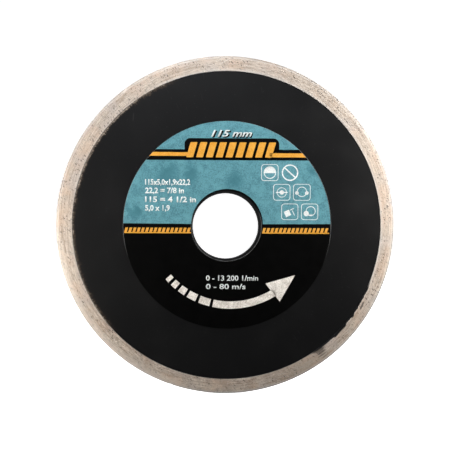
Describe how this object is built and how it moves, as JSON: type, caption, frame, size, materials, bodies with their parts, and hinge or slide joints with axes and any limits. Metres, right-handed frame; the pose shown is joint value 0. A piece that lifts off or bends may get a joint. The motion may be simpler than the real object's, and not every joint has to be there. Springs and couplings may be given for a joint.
{
  "type": "diamond blade",
  "caption": "Thin round cutting blade: steel core with a central bore, a continuous sintered diamond rim, black lacquer and a round printed label.",
  "frame": {"origin": "middle of the bore, half way through the steel core", "axes": "+Y along the bore, away from the label; -Y is the label side; +Z is the label's top, +X is to the right as seen from the label side"},
  "size_m": [0.115, 0.002, 0.115],
  "materials": {
    "blade_steel": "bare ground steel, dull",
    "sintered_rim": "ground sintered metal with fine circular grinding lines and grit specks",
    "black_lacquer": "thin satin black sprayed lacquer",
    "printed_label": "matt black printed foil sticker with teal, orange and pale grey print"
  },
  "bodies": {
    "root": {"steel_core": "blade_steel", "diamond_rim": "sintered_rim", "front_lacquer": "black_lacquer", "back_lacquer": "black_lacquer", "front_label": "printed_label"}
  },
  "joints": []
}
